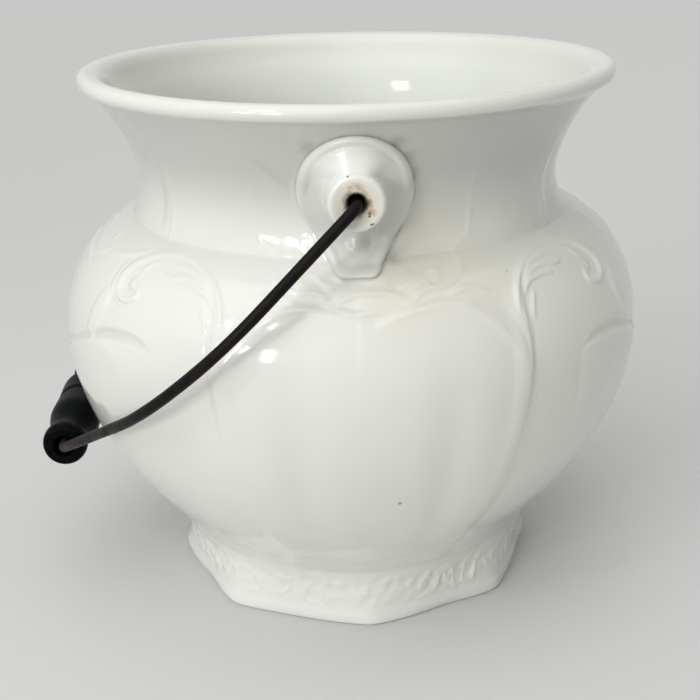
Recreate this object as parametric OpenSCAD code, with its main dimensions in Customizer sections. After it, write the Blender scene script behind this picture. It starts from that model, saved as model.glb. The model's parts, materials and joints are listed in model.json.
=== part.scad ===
// Slop jar: a moulded white ironstone pail with a scalloped foot, a panelled bowl, two luted lugs,
// a swinging wire bail and a turned wooden grip. The jar stands on z = 0, on its own axis, and the
// lugs lie on the Y axis. Azimuths run from the front, -Y, towards the right, +X. Millimetres.

/* [Jar outline] */
// Overall height, from the foot to the top of the lip
jar_h = 251; // [240:1:262]
// Outside diameter of the rolled lip
lip_d = 249; // [236:1:262]
// Radius of the lip's roll
lip_r = 4; // [3:0.1:4.6]
// Narrowest diameter of the neck
neck_d = 200; // [190:1:208]
// Distance from the lip's top down to the narrowest part of the neck
neck_fall = 51; // [47:1:55]
// Diameter of the crease between neck and shoulder
crease_d = 208; // [204:1:216]
// Distance from the lip's top down to that crease
crease_fall = 67; // [63:1:71]
// Widest diameter of the bowl, between its raised panels
belly_d = 278; // [266:1:292]
// Height of the widest part of the bowl
belly_z = 133; // [126:1:138]
// Level radius of the shoulder's elliptic turn
shoulder_turn = 48; // [44:1:54]
// Diameter where the bowl meets the foot
waist_d = 178; // [172:1:190]
// Height where the bowl meets the foot
waist_z = 33; // [30:1:38]

/* [Foot] */
// Mean diameter of the foot's scalloped edge
foot_d = 177; // [172:1:190]
// Diameter of the hollow between foot and bowl
cove_d = 171; // [164:1:171]
// Height of that hollow
cove_z = 27; // [22:1:28]
// How far the scallops swing in and out of the mean
scallop = 2.5; // [0:0.1:3.5]
// Number of points round the scalloped foot
foot_points = 8; // [4:4:12]
// Round on the foot's lower edge
foot_round = 1.5; // [0.8:0.1:2.5]
// Width of the ring that the jar stands on
foot_ring = 8; // [6:0.5:11]
// Depth of the hollow under the jar
foot_hollow = 12; // [8:1:14]

/* [Inside] */
// Wall thickness of the bowl and neck, measured level
wall = 7; // [5.5:0.5:8.5]
// Diameter of the flat floor
floor_d = 140; // [130:1:150]
// Height of the floor inside
floor_z = 22; // [20:1:26]

/* [Panels] */
// How far the raised panels stand out of the bowl
panel_rise = 1.4; // [0:0.1:2.5]
// Width over which a panel's edge rises
panel_edge = 7; // [5:0.5:10]
// Turn of the moulded pattern from the lugs
pattern_turn = 2.5; // [-5:0.5:5]
// Half angle of the front and back panels at the belly
front_half = 27.5; // [22:0.5:32]
// Half angle of the front and back panels at the foot
front_half_low = 23; // [18:0.5:28]
// Angle of the front panels' twin crests from their middle
front_crest = 13.7; // [10:0.1:18]
// Distance from the crease down to the front panels' crests
front_crest_fall = 11; // [9:1:18]
// Depth of the dip between the front panels' crests
front_dip = 6; // [2:1:10]
// Half angle of the side panels at the belly
side_half = 49; // [44:0.5:54]
// Half angle of the side panels at the foot
side_half_low = 30; // [24:0.5:40]
// Angle of the side panels' crests from their middle
side_crest = 42; // [36:0.5:43]
// How far the side panels' crests stand above the widest part of the bowl
side_crest_rise = 10; // [3:1:17]
// Depth of the dip in the middle of the side panels
side_dip = 27; // [14:1:35]
// Fall of a panel's top from its crest to its outer edge
crest_fall = 26; // [18:1:32]
// Angle of the soft flutes inside the front panels
flute_at = 14; // [10:0.5:18]
// Depth of those flutes
flute_depth = 0.8; // [0:0.1:1.5]

/* [Lugs] */
// Radius of the lug's round pad
pad_r = 23.8; // [21:0.2:25]
// Radius of the end of the pad's tail
tail_r = 10; // [8:0.5:12]
// Thickness of the pad on the neck
pad_t = 4.6; // [3.5:0.1:6]
// Clay left between the pad's top and the lip
pad_below_lip = 5.7; // [4:0.1:9]
// Clay left between the tail and the panel's crests
tail_above_crest = 6; // [4:0.5:10]
// Thickness of the slip joint that holds the pad
slip = 0.1; // [0.06:0.02:0.2]
// Tip radius of the bored boss
boss_tip_r = 11.6; // [10:0.2:13]
// Root radius of the boss, where its taper ends
boss_root_r = 12.4; // [12:0.2:13.6]
// Radius of the sweep from boss to pad
boss_sweep = 10; // [7:0.5:10.5]
// How far that sweep ends inside the pad
sweep_sink = 3; // [2:0.1:4]
// Round on the boss's tip
boss_round = 2; // [1:0.1:2.6]
// How far the boss's axis lies below the middle of the pad
boss_drop = 1.6; // [0:0.1:3]
// Distance from the boss's tip in to the lip's outer edge
tip_inset = 1.5; // [0:0.1:4]
// Diameter of the blind hole for the bail
bore_d = 6.2; // [5.8:0.1:7.4]
// Diameter of the hole's flared mouth
mouth_d = 9.8; // [8:0.1:11]
// Depth of the flared mouth
mouth_depth = 3.8; // [2:0.1:5]
// Clay left behind the blind hole
bore_back = 3; // [2:0.2:5]
// Radius of the leaf swelling on the tail
leaf_r = 8; // [6:0.5:10]
// How far the leaf stands out of the pad
leaf_rise = 2; // [1:0.1:3]

/* [Bail] */
// Diameter of the bail's wire
wire_d = 4.9; // [4:0.1:5.4]
// Gap under the pin where it lies in its hole
pin_seat = 0.25; // [0.15:0.05:0.4]
// Gap left at the end of the pin
pin_end_gap = 1.5; // [0.5:0.1:3]
// Gap between the boss's tip and the wire's leg
leg_gap = 0.5; // [0.4:0.1:2]
// Bend radius of the wire at its pins
elbow_bend = 4.2; // [3.6:0.2:5]
// How far the bail's shoulders reach past the belly
shoulder_out = 6; // [4:0.5:12]
// Distance of the shoulders from the pins
shoulder_drop = 73; // [66:1:80]
// Bend radius of the shoulders
shoulder_bend = 72; // [50:1:76]
// How far the bail's haunches lie in from the belly
haunch_in = 12.5; // [8:0.5:16]
// Distance of the haunches from the grip's axis
haunch_back = 70; // [64:1:76]
// Bend radius of the haunches
haunch_bend = 105; // [70:1:120]
// Bend radius of the wire at the grip
grip_bend = 9.6; // [8:0.2:12]
// Swelling of the wire where it is bent
bend_swell = 0.03; // [0.02:0.01:0.1]
// Distance from the grip's end to the corner of the wire's bend
bend_past_grip = 1.7; // [1.2:0.1:4]
// How far the grip's axis swings outside the belly's radius
reach_past_belly = 54; // [50:1:60]
// Gap between the hanging grip and the bowl
rest_gap = 0.6; // [0.4:0.1:2]

/* [Grip] */
// Length of the grip
grip_len = 96; // [84:1:104]
// Largest diameter of the grip's barrels
grip_d = 24.4; // [22:0.2:27]
// Distance of a barrel's thickest part from the grip's middle
barrel_at = 16; // [12:0.5:20]
// Diameter of the ring groove in the grip's middle
groove_d = 22.2; // [20:0.2:23]
// Half width of that groove
groove_half = 3; // [2:0.2:5]
// Diameter of the barrels beside the groove
groove_edge_d = 23.8; // [21:0.2:24]
// Diameter of the coves beside the end beads
grip_cove_d = 18.4; // [16:0.2:20]
// Distance of each cove from the grip's end
cove_from_end = 13; // [11:0.5:16]
// Distance of each bead's crest from the grip's end
bead_from_end = 5; // [3.5:0.5:7]
// Diameter of the end beads
bead_d = 21.4; // [19:0.2:23]
// Diameter of the grip's ends inside the beads' round
end_d = 17; // [15:0.2:18]
// Diameter of the dished mouth of the grip's bore
dish_d = 11; // [9.5:0.2:13]
// Depth of that dish
dish_depth = 5; // [4:0.2:8]
// Clearance between the wire and the grip's bore
grip_play = 0.3; // [0.2:0.05:0.6]

/* [Hidden] */

// Facets round the moulded outside, and steps along each stretch of its outline
facets = 96;
foot_steps = 4;
bowl_steps = 14;
shoulder_steps = 12;
dip_steps = 3;
neck_steps = 9;
lip_steps = 6;
round_steps = 6;
pad_steps = 24;
// Power of the neck's flare: 2 would be a plain parabola
flare_power = 1.76;
// Angular width of a flute
flute_width = 4;
// How far the lip's round goes over to the inside, and the flat on its crest
lip_turn = 130;
lip_flat = 0.4;
// Draft on the wall of the hollow under the jar
hollow_draft = 3;
// Overlap of cutting shapes past the faces they open
past = 5;
// How far a straight run of wire reaches into the bends at its ends
run_in = 0.2;
// Largest share of a straight run that one bend may take up
bend_share = 0.48;

belly_r = belly_d / 2;
neck_r = neck_d / 2;
crease_r = crease_d / 2;
waist_r = waist_d / 2;
foot_r = foot_d / 2;
cove_r = cove_d / 2;
lip_ring_r = lip_d / 2 - lip_r;
lip_ring_z = jar_h - lip_r;
neck_top_z = jar_h - 2 * lip_r;
neck_z = jar_h - neck_fall;
crease_z = jar_h - crease_fall;
front_crest_z = crease_z - front_crest_fall;
front_dip_z = front_crest_z - front_dip;
side_crest_z = belly_z + side_crest_rise;
side_dip_z = side_crest_z - side_dip;
wire_r = wire_d / 2;
bore_r = bore_d / 2;
grip_r = grip_d / 2;

// The shoulder is a quarter turn of an ellipse that starts upright at the belly and ends at the crease
shoulder_end = acos(1 - (belly_r - crease_r) / shoulder_turn);
shoulder_h = (crease_z - belly_z) / sin(shoulder_end);

// The lug's pad hangs under the lip, and the pin lies low in the boss's hole
pad_z = neck_top_z - pad_below_lip - pad_r;
boss_z = pad_z - boss_drop;
tip_y = lip_d / 2 - tip_inset;
tail_z = front_crest_z + tail_above_crest + tail_r - pad_z;
bore_depth = tip_y - outer_r(boss_z) - bore_back;
pivot_z = boss_z - (bore_r - wire_r - pin_seat);

// Colours of glazed ware, blackened wire and blackened wood
glaze_color = [0.90, 0.91, 0.88];
wire_color = [0.13, 0.11, 0.11];
grip_color = [0.07, 0.08, 0.09];

function clamp01(t) = min(1, max(0, t));
function smooth(t) = let (c = clamp01(t)) c * c * (3 - 2 * c);
function mix(a, b, t) = a + (b - a) * t;
function around(r, a, z) = [r * sin(a), -r * cos(a), z];
function reversed(list) = [for (i = [len(list) - 1:-1:0]) list[i]];

// Radius of the outside at height z, without panels or scallops
function outer_r(z) =
    z < cove_z ? cove_r + (foot_r - cove_r) * pow(1 - z / cove_z, 2)
    : z < waist_z ? cove_r + (waist_r - cove_r) * pow((z - cove_z) / (waist_z - cove_z), 2)
    : z < belly_z ? belly_r - (belly_r - waist_r) * pow((belly_z - z) / (belly_z - waist_z), 2)
    : z < crease_z ? belly_r - shoulder_turn * (1 - sqrt(1 - pow((z - belly_z) / shoulder_h, 2)))
    : z < neck_z ? neck_r + (crease_r - neck_r) * pow((neck_z - z) / (neck_z - crease_z), 2)
    : neck_r + (lip_ring_r - neck_r) * pow((z - neck_z) / (neck_top_z - neck_z), flare_power);

// Heights of the rings on each stretch, from the foot up
foot_heights = concat([foot_round], [for (i = [1:foot_steps]) mix(foot_round, cove_z, i / foot_steps)]);
bowl_heights = [for (i = [0:bowl_steps - 1]) mix(waist_z, belly_z, i / bowl_steps)];
shoulder_heights = [for (i = [0:shoulder_steps])
    belly_z + shoulder_h * sin(shoulder_end * i / shoulder_steps)];
neck_heights = concat(
    [for (i = [1:dip_steps]) mix(crease_z, neck_z, i / dip_steps)],
    [for (i = [1:neck_steps]) mix(neck_z, neck_top_z, i / neck_steps)]);
upper_heights = concat(shoulder_heights, neck_heights);

// Outline of the outside as [radius, height], from the foot's sole to the crest of the lip
outline = concat(
    [[foot_r - foot_round, 0]],
    [for (z = concat(foot_heights, bowl_heights, upper_heights)) [outer_r(z), z]],
    [for (i = [1:lip_steps]) let (a = -90 + 180 * i / lip_steps)
        [lip_ring_r + lip_r * cos(a), lip_ring_z + lip_r * sin(a)]]);

// Angle from the middle of the nearest front or back panel
function front_angle(a) = let (m = (a - pattern_turn + 450) % 180) abs(m - 90);

// Depth in millimetres inside a panel's outline, negative outside it
function panel_depth(angle, z, half, half_low, crest, crest_z, dip_z) =
    let (widen = sin(90 * clamp01((z - waist_z) / (belly_z - waist_z))),
         edge = mix(half_low, half, widen),
         past_crest = clamp01((angle - crest) / (half - crest)),
         top = angle < crest ? mix(dip_z, crest_z, sin(90 * angle / crest))
             : crest_z - crest_fall * (1 - sqrt(1 - past_crest * past_crest)))
    min((edge - angle) * belly_r * PI / 180, top - z);

// Rise of the panels, from 0 to 1
function panel(a, z) =
    let (front = front_angle(a),
         in_front = panel_depth(front, z, front_half, front_half_low,
             front_crest, front_crest_z, front_dip_z),
         in_side = panel_depth(90 - front, z, side_half, side_half_low,
             side_crest, side_crest_z, side_dip_z),
         rise = smooth(max(in_front, in_side) / panel_edge + 0.5))
    z < cove_z ? 0 : rise * smooth((z - cove_z) / (waist_z - cove_z));

// Two soft flutes run up each front and back panel and fade out at both ends
function flute(a, z) =
    let (off = (front_angle(a) - flute_at) / flute_width)
    z < waist_z || z > front_dip_z ? 0
    : exp(-off * off) * sin(180 * (z - waist_z) / (front_dip_z - waist_z));

// The foot's edge runs in and out between blunt points
function foot_wave(a) = 1 - 2 * abs(sin(foot_points / 2 * (a - pattern_turn)));

function outside_r(p, a) =
    p[0] + panel_rise * panel(a, p[1]) - flute_depth * flute(a, p[1])
    + scallop * foot_wave(a) * clamp01(1 - p[1] / cove_z);

// Closed solid of the moulded outside: one ring of points for each point of the outline
module moulded_outside() {
    rings = len(outline);
    top = 1 + rings * facets;
    points = concat(
        [[0, 0, 0]],
        [for (p = outline) for (j = [0:facets - 1]) let (a = 360 * j / facets)
            around(outside_r(p, a), a, p[1])],
        [[0, 0, jar_h]]);
    function at(i, j) = 1 + i * facets + j % facets;
    faces = concat(
        [for (j = [0:facets - 1]) [0, at(0, j), at(0, j + 1)]],
        [for (i = [0:rings - 2]) for (j = [0:facets - 1]) [at(i, j), at(i + 1, j), at(i + 1, j + 1)]],
        [for (i = [0:rings - 2]) for (j = [0:facets - 1]) [at(i, j), at(i + 1, j + 1), at(i, j + 1)]],
        [for (j = [0:facets - 1]) [at(rings - 1, j), top, at(rings - 1, j + 1)]]);
    polyhedron(points = points, faces = faces, convexity = 6);
}

// The inside is round: a flat floor, a parabolic bowl, and the outside's shoulder and neck less the wall
module cavity() {
    bowl = [for (i = [0:bowl_steps - 1]) let (z = mix(floor_z, belly_z, i / bowl_steps))
        [belly_r - wall - (belly_r - wall - floor_d / 2) * pow((belly_z - z) / (belly_z - floor_z), 2), z]];
    upper = [for (z = upper_heights) if (z < neck_top_z - lip_r) [outer_r(z) - wall, z]];
    lip = [for (i = [0:lip_steps / 2]) let (a = mix(lip_turn, 90, i / (lip_steps / 2)))
        [lip_ring_r + lip_r * cos(a) - lip_flat, lip_ring_z + lip_r * sin(a)]];
    rotate_extrude($fn = facets)
        polygon(concat([[0, floor_z]], bowl, upper, lip,
            [[lip_ring_r - lip_flat, jar_h + past], [0, jar_h + past]]));
}

// The hollow under the jar, with a drafted wall
module underside() {
    ring_r = foot_r - scallop - foot_ring;
    roof_r = ring_r - hollow_draft;
    rotate_extrude($fn = facets)
        polygon([[0, -past], [ring_r, -past], [ring_r, 0], [roof_r, foot_hollow], [0, foot_hollow]]);
}

module jar_body() {
    color(glaze_color)
        difference() {
            moulded_outside();
            cavity();
            underside();
        }
}

// The neck's own outline, offset, over the height that a lug needs
lug_low_z = front_crest_z + tail_above_crest / 2;
lug_heights = concat([lug_low_z], [for (z = upper_heights) if (z > lug_low_z) z]);
function neck_line(offset) = [for (z = lug_heights) [outer_r(z) + offset, z]];

// The layer of clay that a pad is cut from
module pad_layer() {
    rotate_extrude($fn = facets)
        polygon(concat(neck_line(slip), reversed(neck_line(pad_t))));
}

// The neck out to the middle of the pad, where the boss and the leaf are cut off
module pad_core() {
    rotate_extrude($fn = facets)
        polygon(concat([[0, lug_low_z]], neck_line(pad_t / 2), [[0, neck_top_z]]));
}

// Outline of the pad: a round head and a tail, joined by their common tangents
module pad_outline() {
    tangent = asin((pad_r - tail_r) / -tail_z);
    head = [for (i = [0:pad_steps]) let (a = mix(-tangent, 180 + tangent, i / pad_steps))
        pad_r * [cos(a), sin(a)]];
    tail = [for (i = [0:pad_steps / 2]) let (a = mix(180 + tangent, 360 - tangent, 2 * i / pad_steps))
        [tail_r * cos(a), tail_z + tail_r * sin(a)]];
    polygon(concat(head, tail));
}

// Turned outline of the boss about its own axis, with its height measured in from the tip
module boss_blank() {
    root = tip_y - outer_r(boss_z) - pad_t + sweep_sink;
    foot = tip_y - neck_r + past;
    flange_r = boss_root_r + boss_sweep;
    edge = [for (i = [0:round_steps]) let (a = mix(90, 0, i / round_steps))
        [boss_tip_r - boss_round + boss_round * cos(a), boss_round - boss_round * sin(a)]];
    sweep = [for (i = [0:round_steps]) let (a = mix(180, 90, i / round_steps))
        [flange_r + boss_sweep * cos(a), root - boss_sweep + boss_sweep * sin(a)]];
    rotate_extrude($fn = facets)
        polygon(concat([[0, 0]], edge, sweep, [[flange_r, foot], [0, foot]]));
}

// Blind hole for the pin, with a flared mouth
module bail_bore() {
    cylinder(h = bore_depth, r = bore_r, $fn = 64);
    translate([0, 0, -past])
        cylinder(h = past + mouth_depth, r1 = mouth_d / 2 + (mouth_d / 2 - bore_r) * past / mouth_depth,
            r2 = bore_r, $fn = 64);
}

// A lug on the front of the neck: a pad luted to the neck, its boss and the leaf on its tail
module lug() {
    leaf_z = pad_z + tail_z;
    leaf_y = outer_r(leaf_z) + pad_t + leaf_rise - leaf_r;
    difference() {
        union() {
            intersection() {
                translate([0, -neck_r + past, pad_z])
                    rotate([90, 0, 0])
                        linear_extrude(height = lip_d / 2)
                            pad_outline();
                pad_layer();
            }
            difference() {
                translate([0, -tip_y, boss_z])
                    rotate([-90, 0, 0])
                        boss_blank();
                pad_core();
            }
            difference() {
                translate([0, -leaf_y, leaf_z])
                    sphere(r = leaf_r, $fn = 48);
                pad_core();
            }
        }
        translate([0, -tip_y, boss_z])
            rotate([-90, 0, 0])
                bail_bore();
    }
}

module front_lug() {
    color(glaze_color)
        lug();
}

module rear_lug() {
    color(glaze_color)
        rotate([0, 0, 180])
            lug();
}

// The bail hangs as far down as the grip's rest on the bowl, or on the ground, allows
reach = belly_r + reach_past_belly;
rest_line = [for (z = [0:1:crease_z]) [outer_r(z) + (z < cove_z ? scallop : panel_rise), z]];
function grip_clear(drop) =
    let (x = reach * cos(drop), z = pivot_z - reach * sin(drop))
    min(z, min([for (p = rest_line) norm([x - p[0], z - p[1]])])) - grip_r;
function find_drop(low, high, turns) =
    let (mid = (low + high) / 2)
    turns == 0 ? low
    : grip_clear(mid) > rest_gap ? find_drop(mid, high, turns - 1)
    : find_drop(low, mid, turns - 1);
bail_drop = find_drop(20, 70, 24);
echo(bail_drop_deg = bail_drop, swing_deg = 180 + 2 * bail_drop, pivot_z = pivot_z, reach = reach);

// Corners of the bail in its own plane, as [along the pins, away from the pins], from front to rear
leg_u = tip_y + leg_gap + wire_r;
pin_u = tip_y - bore_depth + pin_end_gap;
grip_u = grip_len / 2 + bend_past_grip;
half_bail = [[pin_u, 0], [leg_u, 0], [belly_r + shoulder_out, shoulder_drop],
    [belly_r - haunch_in, reach - haunch_back], [grip_u, reach]];
corners = concat([for (p = half_bail) [-p[0], p[1]]], reversed(half_bail));
half_bends = [0, elbow_bend, shoulder_bend, haunch_bend, grip_bend];
bends = concat(half_bends, reversed(half_bends));

function unit(v) = v / norm(v);
function gap(i) = norm(corners[i + 1] - corners[i]);
function heading(i) = unit(corners[i + 1] - corners[i]);
function side(i) = let (a = heading(i - 1), b = heading(i)) sign(a[0] * b[1] - a[1] * b[0]);
function turn(i) = acos(heading(i - 1) * heading(i));
function bend_r(i) = min(bends[i], bend_share * min(gap(i - 1), gap(i)) / tan(turn(i) / 2));
function is_end(i) = i == 0 || i == len(corners) - 1;
function setback(i) = is_end(i) ? 0 : bend_r(i) * tan(turn(i) / 2) - run_in;

// Straight run of wire from the bend at one corner to the bend at the next
module run(i) {
    dir = heading(i);
    start = corners[i] + dir * setback(i);
    translate([start[0], start[1], 0])
        rotate([0, 0, atan2(dir[1], dir[0])])
            rotate([0, 90, 0])
                cylinder(h = gap(i) - setback(i) - setback(i + 1), r = wire_r, $fn = 48);
}

// Round bend of wire at a corner
module bend(i) {
    r = bend_r(i);
    reach_back = r * tan(turn(i) / 2);
    into = heading(i - 1);
    normal = side(i) * [-into[1], into[0]];
    centre = corners[i] - into * reach_back + normal * r;
    from = side(i) > 0 ? -normal : corners[i] + heading(i) * reach_back - centre;
    translate([centre[0], centre[1], 0])
        rotate([0, 0, atan2(from[1], from[0])])
            rotate_extrude(angle = turn(i), $fn = 96)
                translate([r, 0])
                    circle(r = wire_r + bend_swell, $fn = 48);
}

// Puts a shape from the bail's plane where the bail hangs, on the left of the jar
module hang() {
    translate([0, 0, pivot_z])
        rotate([0, -bail_drop, 0])
            rotate([0, 0, 90])
                children();
}

module bail_wire() {
    color(wire_color)
        hang()
            union() {
                for (i = [0:len(corners) - 2])
                    run(i);
                for (i = [1:len(corners) - 2])
                    bend(i);
            }
}

// Turned outline of half the grip as [radius, distance from its middle]: eased between the stations, then
// rounded off from the bead's crest to the end
grip_half = grip_len / 2;
bead_at = grip_half - bead_from_end;
stations = [[groove_d, 0], [groove_edge_d, groove_half], [grip_d, barrel_at],
    [grip_cove_d, grip_half - cove_from_end], [bead_d, bead_at]];
grip_outline = concat(
    [for (k = [0:len(stations) - 2]) for (i = [0:round_steps - 1]) let (t = i / round_steps)
        [mix(stations[k][0], stations[k + 1][0], smooth(t)) / 2, mix(stations[k][1], stations[k + 1][1], t)]],
    [for (i = [0:round_steps]) let (a = 90 * i / round_steps)
        [mix(end_d, bead_d, cos(a)) / 2, mix(bead_at, grip_half, sin(a))]]);

module grip() {
    hole_r = wire_r + grip_play;
    mouth_r = hole_r + (dish_d / 2 - hole_r) * (dish_depth + past) / dish_depth;
    far_half = [for (p = grip_outline) if (p[1] > 0) p];
    near_half = [for (p = reversed(grip_outline)) [p[0], -p[1]]];
    color(grip_color)
        hang()
            translate([0, reach, 0])
                rotate([0, 90, 0])
                    difference() {
                        rotate_extrude($fn = facets)
                            polygon(concat([[0, -grip_half]], near_half, far_half, [[0, grip_half]]));
                        cylinder(h = grip_len + 2 * past, r = hole_r, center = true, $fn = 48);
                        for (end = [0, 180])
                            rotate([end, 0, 0])
                                translate([0, 0, grip_half - dish_depth])
                                    cylinder(h = dish_depth + past, r1 = hole_r, r2 = mouth_r, $fn = 48);
                    }
}

jar_body();
front_lug();
rear_lug();
bail_wire();
grip();
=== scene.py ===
"""Looks of the slop jar: moulded white glaze, a blackened bail wire and a turned black grip."""

import json
import math

import bpy
import numpy as np
from mathutils import Euler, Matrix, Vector

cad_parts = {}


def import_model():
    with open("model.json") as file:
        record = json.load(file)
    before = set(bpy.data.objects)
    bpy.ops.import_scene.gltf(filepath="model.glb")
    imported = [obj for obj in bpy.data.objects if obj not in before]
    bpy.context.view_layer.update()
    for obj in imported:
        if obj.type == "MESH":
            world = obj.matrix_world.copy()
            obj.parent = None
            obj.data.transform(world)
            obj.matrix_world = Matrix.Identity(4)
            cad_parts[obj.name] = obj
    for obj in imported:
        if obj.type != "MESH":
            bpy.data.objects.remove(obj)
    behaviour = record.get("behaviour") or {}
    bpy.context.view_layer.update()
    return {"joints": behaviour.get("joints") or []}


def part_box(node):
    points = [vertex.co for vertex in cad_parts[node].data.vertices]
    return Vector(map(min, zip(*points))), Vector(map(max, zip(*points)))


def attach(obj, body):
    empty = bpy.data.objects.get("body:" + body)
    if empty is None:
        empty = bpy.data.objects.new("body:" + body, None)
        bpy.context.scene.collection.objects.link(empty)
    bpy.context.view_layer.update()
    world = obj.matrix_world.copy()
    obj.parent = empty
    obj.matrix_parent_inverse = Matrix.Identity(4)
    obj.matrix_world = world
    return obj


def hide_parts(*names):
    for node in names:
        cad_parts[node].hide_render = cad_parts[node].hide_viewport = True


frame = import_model()

# Shapes are worked out in millimetres and become metres when a mesh is made
MM = 0.001

# Outline of the jar
JAR_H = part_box("jar_body")[1].z / MM
LIP_R = 4.0
LIP_D = 249.0
NECK_R = 100.0
NECK_Z = JAR_H - 51.0
CREASE_R = 104.0
CREASE_Z = JAR_H - 67.0
BELLY_R = 139.0
BELLY_Z = 133.0
SHOULDER_TURN = 48.0
WAIST_R = 89.0
WAIST_Z = 33.0
FOOT_R = 88.5
COVE_R = 85.5
COVE_Z = 27.0
FLARE_POWER = 1.76
LIP_RING_R = LIP_D / 2 - LIP_R
LIP_RING_Z = JAR_H - LIP_R
NECK_TOP_Z = JAR_H - 2 * LIP_R

# The rim rounds gently into the neck, and sagged in the kiln at front and back, above the lugs
SAG = 0.8
RIM_INSIDE = [(0.0, 0.0), (3.1, 0.5), (5.8, 2.0), (8.0, 4.6), (9.9, 7.9)]
RIM_WALL = 9.0
RIM_FADE = 32.0
SAG_FROM = NECK_TOP_Z - 6.0
LIP_START = math.radians(-56)
LIP_BLEND = 1.0
LIP_HANG = 0.9
LIP_RINGS = 16
LIP_WAVER = 0.03
LIP_WAVER_SIZE = 90.0

# Foot and inside
SCALLOP = 2.5
FOOT_POINTS = 8
POINT_SOFT = 0.2
FOOT_ROUND = 2.6
FOOT_BEAD = 0.7
FOOT_BEAD_Z = 4.0
FOOT_BEAD_WIDTH = 2.6
WAIST_FILL = 3.0
WAIST_FILL_Z = COVE_Z + 3.0
WAIST_FILL_WIDTH = 7.0
EDGE_WAVER = 0.6
WAVER_SIZE = 30.0
TRIM = 0.48
UNEVEN = 0.14
UNEVEN_SIZE = 70.0
FOOT_RING = 8.0
FOOT_HOLLOW = 12.0
HOLLOW_DRAFT = 3.0
ROOF_EASE = 0.6
SOLE_EASE = 0.8
WALL = 7.0
FLOOR_R = 70.0
FLOOR_Z = 22.0

# Shell work of the foot: sizes and heights of its curls and pebbles, and its wavering lower edge
CURL_SIZE = 13.0
CURL_WIDTH = 0.4
CURL_RISE = 0.55
PEBBLE_SIZE = 8.5
PEBBLE_RISE = 0.6
SHELL_SINK = 0.2
PLAIN_SIZE = 60.0
PLAIN_SHARE = 0.6
SHELL_EDGE = 8.5
SHELL_WAVER = 1.6
SHELL_START = 4.0
SHELL_END = 7.0
SHELL_TOP = COVE_Z - 0.5

# Panels of the bowl: half angles, crests and dips, measured from the middle of a front or side panel
PATTERN_TURN = 2.5
PANEL_RISE = 1.4
FRONT = {"half": 27.5, "low": 23.0, "crest": 13.7, "crest_z": CREASE_Z - 13.4, "dip_z": CREASE_Z - 19.4,
         "top_edge": 3.6, "side_edge": 13.0, "meet": 0.0}
SIDE = {"half": 49.0, "low": 30.0, "crest": 42.0, "crest_z": BELLY_Z + 10.0, "dip_z": BELLY_Z - 17.0,
        "top_edge": 3.0, "side_edge": 40.0, "meet": 5.0}
SIDE_TILT = 3.0
CREST_FALL = 26.0
CREST_EASE = 0.78
CORNER_SOFT = 0.45
FLUTE_AT = 13.5
FLUTE_WIDTH = 4.0
FLUTE_DEPTH = 1.3
NECK_SEAM = 56.0
NECK_STEP = 1.5
STEP_EASE = 0.14
SCROLLS_FROM = 24.0
SCROLLS_TO = 62.0
SCROLL_COLUMNS = 1.8
NECK_FADE_LOW = 8.0
NECK_FADE_HIGH = 10.0

# The rib beside a front panel as (z, angle of its outer edge, rise)
RIB = [(90, 26.4, 0.0), (112, 27.4, 0.5), (126, 28.1, 0.8), (139, 28.7, 1.15), (148, 29.1, 1.3),
       (157, 29.4, 1.3), (164, 29.8, 1.2), (169, 30.6, 0.9), (174.5, 31.8, 0.0)]
RIB_EDGE = 1.8
RIB_TOP = 3.0
RIB_SLOPE = 9.0

# Lugs
PAD_R = 23.8
PAD_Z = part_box("front_lug")[1].z / MM - PAD_R
BOSS_DROP = 1.6
BOSS_Z = PAD_Z - BOSS_DROP
TAIL_R = 12.4
TAIL_FLAT = 2.4
TAIL_SOFT = 1.2
TAIL_END_Z = CREASE_Z - 4.4
TAIL_DROP = PAD_Z - (TAIL_END_Z - TAIL_FLAT + TAIL_R)
PAD_T = 4.6
RIM_ROUND = 3.0
SLIP = 0.1
SLIP_FILLET = 0.9
SLIP_SPREAD = 3.0
SLIP_UNDER = 0.8
SEAM_OUT = 0.3
SEAM_WIDTH = 0.9
FAR = 99.0
CREASE_FILL = 2.4
CREASE_FILL_Z = CREASE_Z + 1.5
CREASE_FILL_WIDTH = 6.5
FILL_SPREAD = 9.0
TIP_Y = -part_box("front_lug")[0].y / MM
BOSS_TIP_R = 11.6
BOSS_ROOT_R = 12.6
BOSS_SWEEP = 10.0
SWEEP_SINK = 3.0
BOSS_ROUND = 2.0
RAMP_SPREAD = 0.85
RAMP_END = 0.8
SWEEP_BLEND = 4.0
BLEND_FADE = 9.0
LEAST_BLEND = 0.01
BORE_R = 3.1
MOUTH_R = 4.9
MOUTH_DEPTH = 3.8
MOUTH_CONE = 0.35
MOUTH_EDGE = 0.35
TIP_CROWN = 0.3
TIP_SLOPE = 0.5
BORE_BACK = 3.0
PAD_EDGE = 0.5
GROOVE = 0.6
GROOVE_SPREAD = 2.6
CROWN_FROM = 4.0
CROWN_SPREAD = 14.0

# Swellings of a pad as (middle, half sizes, rise) from the boss's axis: leaf, side lobes and tail
SWELLINGS = [((0.6, -18.4), (5.4, 6.0), 2.6), ((-5.4, -15.6), (3.0, 3.4), 1.5),
             ((7.2, -13.6), (4.2, 5.4), 1.5), ((0.0, -25.0), (8.0, 7.0), 0.8)]

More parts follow.
